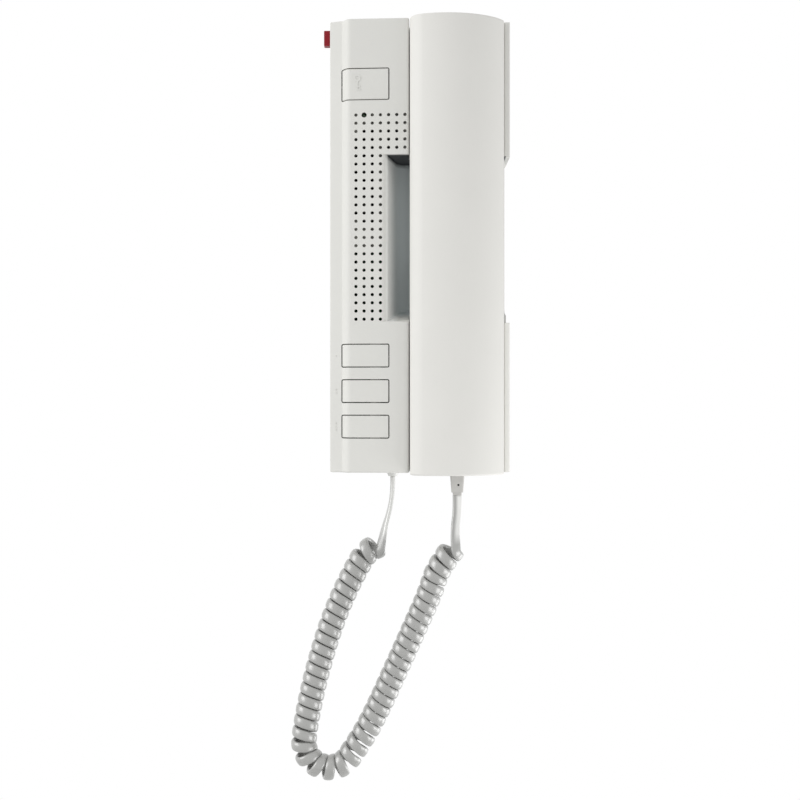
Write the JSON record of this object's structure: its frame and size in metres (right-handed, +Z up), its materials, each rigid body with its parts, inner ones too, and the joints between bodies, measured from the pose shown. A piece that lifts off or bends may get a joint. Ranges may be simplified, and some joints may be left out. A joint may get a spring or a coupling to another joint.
{
  "type": "audio intercom handset",
  "caption": "Wall-mounted audio intercom with a lift-off handset, push buttons, a drilled call grille, a volume lever and a hanging curly cord.",
  "frame": {"origin": "middle of the base's back, on the wall", "axes": "+Z up along the base, +Y into the wall, +X to the right, so the front looks along -Y"},
  "size_m": [0.1083, 0.0603, 0.3753],
  "materials": {
    "base_shell": "fine-grained warm white moulding",
    "button_cap": "fine-grained warm white moulding",
    "handset_shell": "fine-grained warm white moulding",
    "lever_red": "translucent red moulding",
    "cord_jacket": "smooth off-white jacket",
    "cord_fitting": "smooth light grey moulding",
    "bracket_plastic": "plain moulding",
    "dark_plastic": "plain moulding",
    "paper_cone": "coated paper",
    "board_laminate": "lacquered laminate",
    "terminal_green": "plain moulding",
    "zinc_steel": "zinc plated",
    "capsule_metal": "drawn can",
    "foam_gasket": "open-cell foam",
    "boot_rubber": "soft moulding",
    "wire_jacket": "thin jacket",
    "led_lens": "clear tinted lens"
  },
  "bodies": {
    "base": {"wall_plate": "base_shell", "front_cover": "base_shell", "cover_screws": "zinc_steel", "circuit_board": "board_laminate", "board_screws": "zinc_steel", "terminal_block": "terminal_green", "terminal_screws": "zinc_steel", "control_chip": "dark_plastic", "capacitor_1": "capsule_metal", "capacitor_2": "capsule_metal", "cord_connector": "bracket_plastic", "slide_switch": "dark_plastic", "status_led": "led_lens", "speaker_bracket": "bracket_plastic", "ringer_speaker": "dark_plastic", "ringer_cone": "paper_cone", "hook_spring": "zinc_steel", "hook_lever_switch": "dark_plastic", "door_switch": "dark_plastic", "service_switch_1": "dark_plastic", "service_switch_2": "dark_plastic", "service_switch_3": "dark_plastic", "cord_gland": "cord_fitting", "cord_tail": "cord_jacket", "cord_base_lead": "cord_jacket", "cord_coil": "cord_jacket", "cord_handset_lead": "cord_jacket"},
    "handset": {"handset_front_shell": "handset_shell", "handset_back_shell": "handset_shell", "handset_screws": "zinc_steel", "earpiece_gasket": "foam_gasket", "earpiece_capsule": "capsule_metal", "earpiece_leads": "wire_jacket", "microphone_boot": "boot_rubber", "microphone_capsule": "capsule_metal", "microphone_leads": "wire_jacket", "handset_weight": "zinc_steel", "handset_socket": "bracket_plastic", "handset_plug": "cord_fitting"},
    "hook_plunger": {"hook_plunger": "bracket_plastic"},
    "door_button": {"door_button": "button_cap", "door_switch_plunger": "dark_plastic"},
    "service_button_1": {"service_button_1": "button_cap", "service_switch_plunger_1": "dark_plastic"},
    "service_button_2": {"service_button_2": "button_cap", "service_switch_plunger_2": "dark_plastic"},
    "service_button_3": {"service_button_3": "button_cap", "service_switch_plunger_3": "dark_plastic"},
    "volume_slider": {"volume_slider": "lever_red"}
  },
  "joints": [
    {"name": "handset_lift", "type": "slide", "parent": "base", "child": "handset", "axis": [0, -1, 0], "range_m": [0, 0.08], "deforming": ["cord_base_lead", "cord_coil", "cord_handset_lead"]},
    {"name": "hook_press", "type": "slide", "parent": "base", "child": "hook_plunger", "axis": [0, -1, 0], "range_m": [0, 0.004], "deforming": ["hook_spring"]},
    {"name": "door_button_press", "type": "slide", "parent": "base", "child": "door_button", "axis": [0, 1, 0], "range_m": [0, 0.0012], "stiffness_N_per_m": 400},
    {"name": "service_button_1_press", "type": "slide", "parent": "base", "child": "service_button_1", "axis": [0, 1, 0], "range_m": [0, 0.0012], "stiffness_N_per_m": 400},
    {"name": "service_button_2_press", "type": "slide", "parent": "base", "child": "service_button_2", "axis": [0, 1, 0], "range_m": [0, 0.0012], "stiffness_N_per_m": 400},
    {"name": "service_button_3_press", "type": "slide", "parent": "base", "child": "service_button_3", "axis": [0, 1, 0], "range_m": [0, 0.0012], "stiffness_N_per_m": 400},
    {"name": "volume_slide", "type": "slide", "parent": "base", "child": "volume_slider", "axis": [0, 0, 1], "range_m": [-0.008, 0]}
  ],
  "couplings": [
    {"joint": "hook_press", "follows": "handset_lift", "ratio": 0.05}
  ]
}
